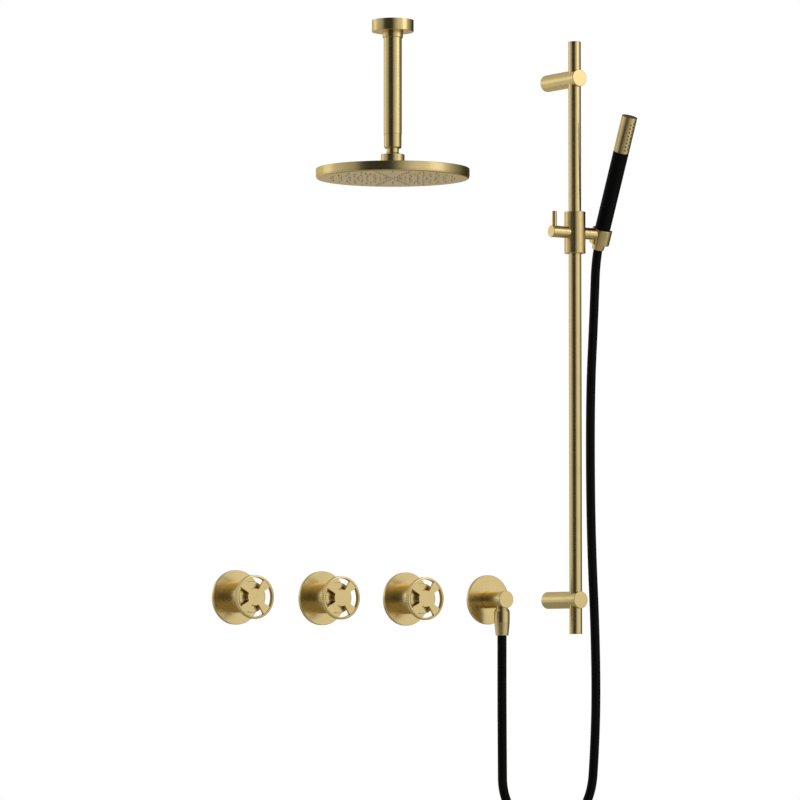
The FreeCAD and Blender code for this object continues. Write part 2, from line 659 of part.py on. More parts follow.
def build_hand_shower():
    """The stick hand shower: brass head with its rubber jets, black grip, water tube and conical hose nut."""
    grip_low = "(cradle_up + gap)"
    head_low = "(hand_top - hand_head_length)"
    inner = "hand_dia / 2 - hand_wall"
    grip = [
        ("tube_dia / 2 + gap", grip_low),
        ("hand_dia / 2", grip_low),
        ("hand_dia / 2", f"{head_low} - 0.2"),
        (inner, f"{head_low} - 0.2"),
        (inner, f"{grip_low} + 6"),
        ("tube_dia / 2 + gap", f"{grip_low} + 6"),
    ]
    leaned(turned("HandGrip", grip, (1, 2), "edge / 2"), "hand_grip")
    shell = [
        (inner, head_low),
        ("hand_dia / 2", head_low),
        ("hand_dia / 2", "hand_top"),
        ("0", "hand_top"),
        ("0", "hand_top - hand_wall"),
        (inner, "hand_top - hand_wall"),
    ]
    blank = turned("HandShell", shell, (1, 2), "edge / 2")
    first = "(hand_top - 8)"
    holes, jets = [], []
    for lane in (0, 1):
        for i in range(JETS_PER_ROW):
            level = f"{first} - jet_pitch * {i + 0.5 * lane}"
            angle = f"jet_spread * {1 - 2 * lane}"
            for store, dia, reach in ((holes, "jet_dia + gap", "hand_dia / 2 + 2"), (jets, "jet_dia", "hand_dia / 2 + 0.3")):
                jet = rod(f"Jet{len(store)}x{lane}", dia, reach, ("0", "0", level), "Y")
                jet.Placement.Rotation = FreeCAD.Rotation(Vector(1, 0, 0), 90)
                turn = FreeCAD.Rotation(Vector(0, 0, 1), size(angle))
                jet.Placement = FreeCAD.Placement(Vector(0, 0, size(level)), turn * jet.Placement.Rotation)
                jet.setExpression("Placement.Base.z", bound(level))
                store.append(jet)
    leaned(cut("HandHead", blank, *holes), "hand_head")
    strip_dia = "(hand_dia - 2 * hand_wall - 2 * gap)"
    strip_low = f"({first} - jet_pitch * {JETS_PER_ROW} - 2)"
    strip = turned("JetTube", ring_corners(f"{strip_dia} - 4", strip_dia, strip_low, f"{first} + 4"))
    core = rod("JetTubeBore", f"{strip_dia} - 4", "hand_top", ("0", "0", strip_low))
    leaned(cut("HandJets", joined("JetsSolid", [strip, *jets]), core), "hand_jets")
    tube = ring_corners("tube_dia - 3", "tube_dia", "-8", f"{head_low} - 6")
    leaned(turned("WaterTube", tube), "water_tube")
    nut = [
        (f"{HOSE_SOCKET} / 2", "-upper_nut_down"),
        ("upper_nut_end / 2", "-upper_nut_down"),
        ("upper_nut_dia / 2", "cradle_up"),
        ("tube_dia / 2 + gap", "cradle_up"),
        ("tube_dia / 2 + gap", "-8.5"),
        (f"{HOSE_SOCKET} / 2", "-8.5"),
    ]
    leaned(turned("HoseNutUpper", nut, (1,), "edge / 2"), "hose_nut_upper")


# ---------------------------------------------------------------- hose
SLEEVE_ROUTE = ((465.6, -69.0, 554.2), (465.6, -57.7, 527.5), (465.6, -55.8, 487.5))
HOSE_ROUTE = (
    (465.6, -55.8, 487.1),
    (465.6, -52.0, 430.0),
    (465.6, -43.5, 330.0),
    (466.1, -41.5, 200.0),
    (467.1, -43.0, 80.0),
    (468.6, -49.5, -40.0),
    (468.4, -52.5, -150.0),
    (466.1, -50.5, -235.0),
    (462.1, -48.5, -297.7),
    (431.2, -46.7, -339.2),
    (381.3, -44.9, -355.1),
    (331.4, -43.1, -339.2),
    (300.5, -41.6, -297.7),
    (300.3, -41.4, -240.0),
    (299.7, -41.4, -142.0),
    (300.0, -41.4, -46.0),
)
BEND_SHARE = 0.45


def tube_path(route):
    """Straight runs joined by tangent arcs, each as large as its two runs allow, and the arcs' radii."""
    points = [Vector(*p) for p in route]
    edges, radii = [], []
    start = points[0]
    for before, corner, after in zip(points, points[1:], points[2:]):
        run_in, run_out = corner - before, after - corner
        turn = run_in.getAngle(run_out)
        trim = BEND_SHARE * min(run_in.Length, run_out.Length)
        radius = trim / math.tan(turn / 2)
        radii.append(radius)
        way_in, way_out = Vector(run_in).normalize(), Vector(run_out).normalize()
        arc_start, arc_end = corner - way_in * trim, corner + way_out * trim
        inward = (way_out - way_in).normalize()
        middle = corner + inward * (radius / math.cos(turn / 2) - radius)
        edges.append(Part.LineSegment(start, arc_start).toShape())
        edges.append(Part.Arc(arc_start, middle, arc_end).toShape())
        start = arc_end
    edges.append(Part.LineSegment(start, points[-1]).toShape())
    return Part.Wire(edges), radii


def build_tube(name, label, route):
    """A closed solid tube along a route."""
    path, radii = tube_path(route)
    first = Vector(*route[1]) - Vector(*route[0])
    section = Part.Wire(Part.makeCircle(size("hose_dia") / 2, Vector(*route[0]), first))
    solid = path.makePipeShell([section], True, False)
    expected = math.pi * (size("hose_dia") / 2) ** 2 * path.Length
    print(f"{label}: length {path.Length:.1f} mm, volume {solid.Volume / expected:.4f} of section times length")
    print("   radii", " ".join(f"{r:.0f}" for r in radii))
    part = doc.addObject("Part::Feature", name)
    part.Shape = solid
    settle(part, label)


def build():
    """Makes every sub-part."""
    build_ceiling_arm()
    build_rain_head()
    for side, across in SIDES.items():
        build_valve(side, across)
    build_outlet()
    build_rail()
    build_fasteners()
    build_slider()
    build_cradle()
    build_hand_shower()
    build_tube("HoseSleeve", "hose_sleeve", SLEEVE_ROUTE)
    build_tube("Hose", "hose", HOSE_ROUTE)


def check_and_write():
    """Stops on any failed object or bad shape, then writes one file for each sub-part."""
    doc.recompute()
    for item in doc.Objects:
        if "Invalid" in item.State or "Error" in item.State:
            raise RuntimeError(f"{item.Name} failed: {item.State}")
    for part in subparts:
        if part.Shape.isNull() or not part.Shape.isValid() or not part.Shape.Solids:
            raise RuntimeError(f"{part.Label} has a bad shape")
    os.makedirs("parts", exist_ok=True)
    for part in subparts:
        part.Shape.exportStep(f"parts/{part.Label}.step")
    print(len(subparts), "sub-parts written")


build()
check_and_write()
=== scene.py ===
"""Looks of a brushed brass shower set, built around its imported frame.

The set is a rain head on a ceiling arm, three wall valves with ring handles, a hose outlet, a slide rail with
its slider and cradle, a stick hand shower and its black hose. Every length is in metres, in the frame's own
axes: the finished wall is the plane Y = 0 and the room is at -Y.
"""

import logging
import math
from collections.abc import Callable
from dataclasses import dataclass, field
from enum import Enum

import bmesh
import bpy
from mathutils import Matrix, Vector

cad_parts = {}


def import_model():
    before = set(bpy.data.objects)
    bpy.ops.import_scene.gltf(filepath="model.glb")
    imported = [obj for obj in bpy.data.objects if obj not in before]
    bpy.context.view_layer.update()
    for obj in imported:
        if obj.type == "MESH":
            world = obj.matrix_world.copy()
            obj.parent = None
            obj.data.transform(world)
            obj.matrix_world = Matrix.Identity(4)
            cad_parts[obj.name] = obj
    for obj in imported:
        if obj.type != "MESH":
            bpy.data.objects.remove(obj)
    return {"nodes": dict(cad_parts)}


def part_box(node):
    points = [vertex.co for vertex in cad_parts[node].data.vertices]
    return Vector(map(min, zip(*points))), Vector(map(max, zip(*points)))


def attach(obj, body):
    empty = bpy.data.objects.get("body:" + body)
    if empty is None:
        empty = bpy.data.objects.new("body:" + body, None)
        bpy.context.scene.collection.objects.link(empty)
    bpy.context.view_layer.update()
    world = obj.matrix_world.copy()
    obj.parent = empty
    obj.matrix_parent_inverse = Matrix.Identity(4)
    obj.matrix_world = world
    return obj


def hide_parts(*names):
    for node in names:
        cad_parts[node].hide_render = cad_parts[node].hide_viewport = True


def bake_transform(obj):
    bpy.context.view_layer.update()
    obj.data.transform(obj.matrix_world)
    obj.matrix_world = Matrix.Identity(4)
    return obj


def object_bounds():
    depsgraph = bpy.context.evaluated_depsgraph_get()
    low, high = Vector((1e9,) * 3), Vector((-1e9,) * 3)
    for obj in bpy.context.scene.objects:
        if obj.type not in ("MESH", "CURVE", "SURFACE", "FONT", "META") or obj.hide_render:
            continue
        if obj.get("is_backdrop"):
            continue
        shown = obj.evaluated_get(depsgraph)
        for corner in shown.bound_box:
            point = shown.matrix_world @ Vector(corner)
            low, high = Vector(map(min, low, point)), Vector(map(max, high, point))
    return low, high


log = logging.getLogger("shower_set")

Point = tuple[float, float, float]
Profile = list[tuple[float, float]]

SHARP_ANGLE = math.radians(34)
SIDES = ("left", "centre", "right")
LEAN = 23.0
BLACK = (0.0035, 0.0034, 0.0026)


# ---------------------------------------------------------------- small helpers for node trees
class Tree:
    """A short way to write a material's or a world's node tree."""

    def __init__(self, tree: bpy.types.NodeTree) -> None:
        """Starts from an empty tree.

        Args:
            tree: the node tree to fill.
        """
        self.tree = tree
        self.tree.nodes.clear()

    def node(self, kind: str, **inputs: object) -> bpy.types.Node:
        """Adds a node.

        Args:
            kind: the node's class name without its ShaderNode part.
            inputs: sockets by name with spaces as underscores, or node properties.

        Returns:
            The new node.
        """
        made = self.tree.nodes.new("ShaderNode" + kind)
        for name, value in inputs.items():
            if hasattr(made, name):
                setattr(made, name, value)
            else:
                self.feed(made.inputs[name.replace("_", " ")], value)
        return made

    def feed(self, socket: bpy.types.NodeSocket, value: object) -> None:
        """Links a socket to another, or sets its value.

        Args:
            socket: the input socket.
            value: an output socket, or a plain value.
        """
        if isinstance(value, bpy.types.NodeSocket):
            self.tree.links.new(value, socket)
        else:
            socket.default_value = value

    def math(self, operation: str, *values: object) -> bpy.types.NodeSocket:
        """One arithmetic step on numbers.

        Args:
            operation: Blender's name for it.
            values: sockets or numbers.

        Returns:
            The result's socket.
        """
        made = self.node("Math", operation=operation)
        for socket, value in zip(made.inputs, values):
            self.feed(socket, value)
        return made.outputs[0]

    def vector(self, operation: str, *values: object) -> bpy.types.Node:
        """One arithmetic step on vectors.

        Args:
            operation: Blender's name for it.
            values: sockets or vectors.

        Returns:
            The node, since some steps give a number and others a vector.
        """
        made = self.node("VectorMath", operation=operation)
        for socket, value in zip(made.inputs, values):
            self.feed(socket, value)
        return made

    def ramp(self, factor: bpy.types.NodeSocket, stops: list[tuple[float, tuple]],
             smooth: bool = True) -> bpy.types.NodeSocket:
        """A colour ramp.

        Args:
            factor: what it reads.
            stops: positions with colours.
            smooth: eased between stops, or straight.

        Returns:
            Its colour socket.
        """
        made = self.node("ValToRGB")
        made.color_ramp.interpolation = "EASE" if smooth else "LINEAR"
        while len(made.color_ramp.elements) < len(stops):
            made.color_ramp.elements.new(0.5)
        for element, (position, colour) in zip(made.color_ramp.elements, stops):
            element.position = position
            element.color = (*colour, 1.0)
        self.feed(made.inputs["Fac"], factor)
        return made.outputs["Color"]

    def spread(self, factor: bpy.types.NodeSocket, low: float, high: float) -> bpy.types.NodeSocket:
        """A 0 to 1 value spread between two numbers.

        Args:
            factor: the value.
            low: what 0 becomes.
            high: what 1 becomes.

        Returns:
            The result's socket.
        """
        made = self.node("MapRange", To_Min=low, To_Max=high)
        self.feed(made.inputs["Value"], factor)
        return made.outputs["Result"]


def grey(value: float) -> tuple[float, float, float]:
    """A neutral colour.

    Args:
        value: how light it is, from 0 to 1.

    Returns:
        The colour.
    """
    return (value, value, value)


# ---------------------------------------------------------------- finishes
class Grain(Enum):
    """Which way the satin lines of a piece run: along an axis, or round one."""

    ALONG_X = "along x"
    ALONG_Y = "along y"
    ALONG_Z = "along z"
    ROUND_Y = "round y"
    ROUND_Z = "round z"


@dataclass(frozen=True)
class Brass:
    """Brushed brass: satin lines, a soft mottling and a painted highlight that makes sharp convex edges
    slightly paler.

    Attributes:
        grain: which way the lines run.
        centre: a point on the axis that round lines run about.
        tilt: how far the piece leans about X, in degrees.
        colour: the metal's own colour.
        roughness: the middle of its roughness.
        line: the width of one satin line, in metres.
        depth: how strongly the lines catch light.
        line_ratio: how many times as long as wide a line is.
        mottle: how fine the mottling is, as noise per metre.
        specks: how fine the specks between the lines are, as noise per metre.
        gloss_change: how far the roughness drifts to each side.
    """

    grain: Grain
    centre: Point = (0.0, 0.0, 0.0)
    tilt: float = 0.0
    colour: Point = (0.74, 0.575, 0.262)
    roughness: float = 0.23
    line: float = 0.00022
    depth: float = 0.007
    line_ratio: float = 90.0
    mottle: float = 38.0
    specks: float = 2600.0
    gloss_change: float = 0.04

    def lines(self, tree: Tree) -> bpy.types.NodeSocket:
        """The coordinate that the satin lines are drawn on, short across them and long along them.

        Args:
            tree: the material's node tree.

        Returns:
            The coordinate's socket.
        """
        place = tree.node("TexCoord").outputs["Object"]
        local = tree.vector("SUBTRACT", place, self.centre).outputs[0]
        if self.tilt:
            back = -math.radians(self.tilt)
            turn = tree.node("VectorRotate", rotation_type="X_AXIS", Vector=local, Angle=back)
            local = turn.outputs[0]
        split = tree.node("SeparateXYZ", Vector=local)
        x, y, z = split.outputs
        fine, coarse = 1.0 / self.line, 1.0 / (self.line * self.line_ratio)
        if self.grain in (Grain.ALONG_X, Grain.ALONG_Y, Grain.ALONG_Z):
            scale = {
                Grain.ALONG_X: (coarse, fine, fine),
                Grain.ALONG_Y: (fine, coarse, fine),
                Grain.ALONG_Z: (fine, fine, coarse),
            }[self.grain]
            return tree.vector("MULTIPLY", local, scale).outputs[0]
        flat, axial = ((x, z), y) if self.grain is Grain.ROUND_Y else ((x, y), z)
        radius = tree.math("SQRT", tree.math("ADD", *(tree.math("MULTIPLY", a, a) for a in flat)))
        angle = tree.math("ARCTAN2", *flat)
        joined = tree.node("CombineXYZ")
        tree.feed(joined.inputs[0], tree.math("MULTIPLY", radius, fine))
        tree.feed(joined.inputs[1], tree.math("MULTIPLY", axial, fine))
        tree.feed(joined.inputs[2], tree.math("MULTIPLY", angle, 2.2))
        return joined.outputs[0]

    def make(self, name: str) -> bpy.types.Material:
        """The material.

        Args:
            name: what it is called.

        Returns:
            A procedural metal.
        """
        material = bpy.data.materials.new(name)
        material.use_nodes = True
        tree = Tree(material.node_tree)
        lines = tree.node("TexNoise", Vector=self.lines(tree), Scale=1.0, Detail=3.0, Roughness=0.6)
        place = tree.node("TexCoord").outputs["Object"]
        cloud = tree.node("TexNoise", Vector=place, Scale=self.mottle, Detail=4.0, Roughness=0.55)
        specks = tree.node("TexNoise", Vector=place, Scale=self.specks, Detail=1.0)
        # Painted highlight: a mask of the sharp convex edges, which are made slightly paler below as if they
        # caught the light.
        edges = tree.node("NewGeometry").outputs["Pointiness"]
        edge_highlight_mask = tree.ramp(edges, [(0.52, grey(0.0)), (0.62, grey(1.0))])
        deep = tuple(c * 0.95 for c in self.colour)
        pale = tuple(min(1.0, c * 1.04) for c in self.colour)
        body = tree.ramp(cloud.outputs["Fac"], [(0.30, deep), (0.52, self.colour), (0.75, pale)])
        streaks = tree.ramp(lines.outputs["Fac"], [(0.30, grey(0.94)), (0.70, grey(1.0))])
        satin = tree.node("Mix", data_type="RGBA", blend_type="MULTIPLY")
        tree.feed(satin.inputs["Factor"], 1.0)
        tree.feed(satin.inputs["A"], body)
        tree.feed(satin.inputs["B"], streaks)
        # Painted highlight on the edges: the satin colour is screened towards a paler brass there.
        edge_highlighted = tree.node("Mix", data_type="RGBA", blend_type="SCREEN")
        tree.feed(edge_highlighted.inputs["Factor"], tree.math("MULTIPLY", edge_highlight_mask, 0.12))
        tree.feed(edge_highlighted.inputs["A"], satin.outputs["Result"])
        tree.feed(edge_highlighted.inputs["B"], (*pale, 1.0))
        mixed = tree.math("ADD", tree.math("MULTIPLY", lines.outputs["Fac"], 0.7),
                          tree.math("MULTIPLY", cloud.outputs["Fac"], 0.3))
        rough = tree.spread(mixed, self.roughness - self.gloss_change, self.roughness + self.gloss_change)
        height = tree.math("ADD", lines.outputs["Fac"], tree.math("MULTIPLY", specks.outputs["Fac"], 0.10))
        bump = tree.node("Bump", Strength=self.depth, Distance=0.0002)
        tree.feed(bump.inputs["Height"], height)
        shader = tree.node("BsdfPrincipled", Metallic=1.0, Roughness=rough)
        tree.feed(shader.inputs["Base Color"], edge_highlighted.outputs["Result"])
        shader.inputs["Specular Tint"].default_value = (0.92, 0.80, 0.56, 1.0)
        tree.feed(shader.inputs["Normal"], bump.outputs["Normal"])
        tree.node("OutputMaterial", Surface=shader.outputs[0])
        return material


@dataclass(frozen=True)
class Polymer:
    """A moulded rubber or plastic: an even colour with a fine grain and small changes of gloss.

    Attributes:
        colour: its colour.
        roughness: the middle of its roughness.
        grain: how fine its surface is, as noise per metre.
        depth: how strongly the grain catches light.
        specular: how much it reflects, on the shader's own scale.
        vein: how far the colour drifts from place to place.
        gloss_change: how far the roughness drifts to each side.
    """

    colour: Point
    roughness: float = 0.5
    grain: float = 1500.0
    depth: float = 0.08
    specular: float = 0.5
    vein: float = 0.12
    gloss_change: float = 0.06

    def make(self, name: str) -> bpy.types.Material:
        """The material.

        Args:
            name: what it is called.

        Returns:
            A procedural material.
        """
        material = bpy.data.materials.new(name)
        material.use_nodes = True
        tree = Tree(material.node_tree)
        place = tree.node("TexCoord").outputs["Object"]
        fine = tree.node("TexNoise", Vector=place, Scale=self.grain, Detail=3.0, Roughness=0.6)
        cloud = tree.node("TexNoise", Vector=place, Scale=60.0, Detail=3.0, Roughness=0.5)
        low = tuple(c * (1 - self.vein) for c in self.colour)
        high = tuple(min(1.0, c * (1 + self.vein)) for c in self.colour)
        body = tree.ramp(cloud.outputs["Fac"], [(0.30, low), (0.70, high)])
        least, most = self.roughness - self.gloss_change, self.roughness + self.gloss_change
        rough = tree.spread(fine.outputs["Fac"], least, most)
        bump = tree.node("Bump", Strength=self.depth, Distance=0.0003)
        tree.feed(bump.inputs["Height"], fine.outputs["Fac"])
        shader = tree.node("BsdfPrincipled", Base_Color=body, Roughness=rough)
        shader.inputs["Specular IOR Level"].default_value = self.specular
        tree.feed(shader.inputs["Normal"], bump.outputs["Normal"])
        tree.node("OutputMaterial", Surface=shader.outputs[0])
        return material


@dataclass(frozen=True)
class Steel:
    """Bright stainless steel of small screws and pins."""

    colour: Point = (0.60, 0.59, 0.57)
    roughness: float = 0.3

    def make(self, name: str) -> bpy.types.Material:
        """The material.

        Args:
            name: what it is called.

        Returns:
            A procedural material.
        """
        material = bpy.data.materials.new(name)
        material.use_nodes = True
        tree = Tree(material.node_tree)
        place = tree.node("TexCoord").outputs["Object"]
        cloud = tree.node("TexNoise", Vector=place, Scale=900.0, Detail=3.0)
        low = tuple(c * 0.85 for c in self.colour)
        body = tree.ramp(cloud.outputs["Fac"], [(0.3, low), (0.7, self.colour)])
        rough = tree.spread(cloud.outputs["Fac"], self.roughness - 0.08, self.roughness + 0.08)
        shader = tree.node("BsdfPrincipled", Metallic=1.0, Base_Color=body, Roughness=rough)
        tree.node("OutputMaterial", Surface=shader.outputs[0])
        return material


class Finishes:
    """The materials that are shared by many pieces, made once each."""

    def __init__(self) -> None:
        """Starts with none made."""
        self.made: dict[str, bpy.types.Material] = {}

    def get(self, name: str, finish: object) -> bpy.types.Material:
        """A material by name, made from its finish the first time.

        Args:
            name: what it is called.
            finish: a Brass, Polymer or Steel finish.

        Returns:
            The material.
        """
        if name not in self.made:
            self.made[name] = finish.make(name)
        return self.made[name]


def dress(piece: bpy.types.Object, material: bpy.types.Material) -> bpy.types.Object:
    """Gives a piece one material in every slot.

    Args:
        piece: the piece.
        material: its material.

    Returns:
        The same piece.
    """
    if not piece.material_slots:
        piece.data.materials.append(material)
    for slot in piece.material_slots:
        slot.material = material
    return piece


# ---------------------------------------------------------------- mesh helpers
def mesh_piece(name: str, verts: list, faces: list) -> bpy.types.Object:
    """A piece in the scene from vertices and faces, smooth except across sharp edges.

    Args:
        name: the piece's name.
        verts: its vertices.
        faces: its faces, as vertex numbers.

    Returns:
        The piece.
    """
    data = bpy.data.meshes.new(name)
    data.from_pydata([tuple(v) for v in verts], [], [tuple(f) for f in faces])
    data.validate()
    data.polygons.foreach_set("use_smooth", [True] * len(data.polygons))
    data.set_sharp_from_angle(angle=SHARP_ANGLE)
    piece = bpy.data.objects.new(name, data)
    bpy.context.scene.collection.objects.link(piece)
    return piece


class Shells:
    """Closed shells that are collected into one piece."""

    def __init__(self) -> None:
        """Starts with none."""
        self.verts: list[Vector] = []
        self.faces: list[tuple] = []

    def add(self, verts: list, faces: list, place: Matrix) -> None:
        """Adds one shell, moved by a matrix.

        Args:
            verts: its vertices.
            faces: its faces, as its own vertex numbers.
            place: where it goes.
        """
        first = len(self.verts)
        self.verts += [place @ Vector(v) for v in verts]
        self.faces += [tuple(first + i for i in face) for face in faces]

    def lathe(self, profile: Profile, place: Matrix, steps: int = 64,
              shave: Callable[[float, float], float] | None = None) -> None:
        """Turns a profile about Z.

        Args:
            profile: radius and height from one end to the other. It closes on the axis where its end
                radius is 0, and otherwise back on its own start.
            place: where the shell goes.
            steps: faces around it.
            shave: how much less the largest radius is at an angle and a height, or None.
        """
        count = len(profile)
        solid = profile[0][0] == 0.0
        crest = max(radius for radius, _ in profile)
        verts, faces = [], []
        for k in range(steps):
            angle = 2 * math.pi * k / steps
            for radius, height in profile:
                reach = radius - (shave(angle, height) if shave and radius == crest else 0.0)
                verts.append((reach * math.cos(angle), reach * math.sin(angle), height))
        for k in range(steps):
            here, there = k * count, (k + 1) % steps * count
            for i in range(count - 1 if solid else count):
                j = (i + 1) % count
                if solid and i == 0:
                    faces.append((here + j, there + j, 0))
                elif solid and j == count - 1:
                    faces.append((here + i, count - 1, there + i))
                else:
                    faces.append((here + i, here + j, there + j, there + i))
        self.add(verts, faces, place)

    def slab(self, outline: Profile, low: float, high: float, bevel: float, place: Matrix) -> None:
        """Raises a flat outline into a slab with a small bevel round its upper face.

        Args:
            outline: its corners, in order.
            low: the level of its lower face.
            high: the level of its upper face.
            bevel: the bevel's width.
            place: where it goes.
        """
        build = bmesh.new()
        bottom = [build.verts.new((x, y, low)) for x, y in outline]
        top = [build.verts.new((x, y, high)) for x, y in outline]
        build.faces.new(list(reversed(bottom)))
        build.faces.new(top)
        count = len(outline)
        for i in range(count):
            j = (i + 1) % count
            build.faces.new((bottom[i], bottom[j], top[j], top[i]))
        rim = [edge for edge in build.edges if all(abs(v.co.z - high) < 1e-9 for v in edge.verts)]
        bmesh.ops.bevel(build, geom=rim, offset=bevel, segments=2, profile=0.5, affect="EDGES")
        build.verts.index_update()
        faces = [[v.index for v in face.verts] for face in build.faces]
        self.add([v.co.copy() for v in build.verts], faces, place)
        build.free()

    def piece(self, name: str) -> bpy.types.Object:
        """The finished piece, with its faces turned outward.

        Args:
            name: the piece's name.

        Returns:
            The piece.
        """
        made = mesh_piece(name, self.verts, self.faces)
        build = bmesh.new()
        build.from_mesh(made.data)
        bmesh.ops.remove_doubles(build, verts=build.verts, dist=1e-7)
        bmesh.ops.recalc_face_normals(build, faces=build.faces)
        build.to_mesh(made.data)
        build.free()
        made.data.set_sharp_from_angle(angle=SHARP_ANGLE)
        return made


def spline_points(route: list[Point], detail: int = 24) -> list[Vector]:
    """Points along the smooth curve whose control points are the route.

    Args:
        route: control points, in metres.
        detail: points for each control point.

    Returns:
        The points along it, from the first to the last.
    """
    data = bpy.data.curves.new("route", "CURVE")
    data.dimensions = "3D"
    line = data.splines.new("NURBS")
    line.points.add(len(route) - 1)
    for point, place in zip(line.points, route):
        point.co = (*place, 1.0)
    line.order_u = 3
    line.use_endpoint_u = True
    data.resolution_u = detail
    holder = bpy.data.objects.new("route", data)
    bpy.context.scene.collection.objects.link(holder)
    mesh = bpy.data.meshes.new_from_object(holder)
    points = [v.co.copy() for v in mesh.vertices]
    bpy.data.objects.remove(holder)
    bpy.data.meshes.remove(mesh)
    return points


def swept_tube(name: str, points: list[Vector], radius: float, sides: int = 40) -> bpy.types.Object:
    """A closed round tube along points, with no twist.

    Args:
        name: the piece's name.
        points: its centre line.
        radius: its radius.
        sides: faces around it.

    Returns:
        The piece.
    """
    verts, faces = [], []
    ahead = (points[1] - points[0]).normalized()
    across = ahead.orthogonal().normalized()
    for i, point in enumerate(points):
        before = points[max(0, i - 1)]
        after = points[min(len(points) - 1, i + 1)]
        turn = (after - before).normalized()
        across = (across - turn * across.dot(turn)).normalized()
        up = turn.cross(across)
        for k in range(sides):
            angle = 2 * math.pi * k / sides
            verts.append(point + (across * math.cos(angle) + up * math.sin(angle)) * radius)
    for i in range(len(points) - 1):
        for k in range(sides):
            a, b = i * sides + k, i * sides + (k + 1) % sides
            faces.append((a, b, b + sides, a + sides))
    faces.append(tuple(range(sides - 1, -1, -1)))
    last = (len(points) - 1) * sides
    faces.append(tuple(range(last, last + sides)))
    return mesh_piece(name, verts, faces)


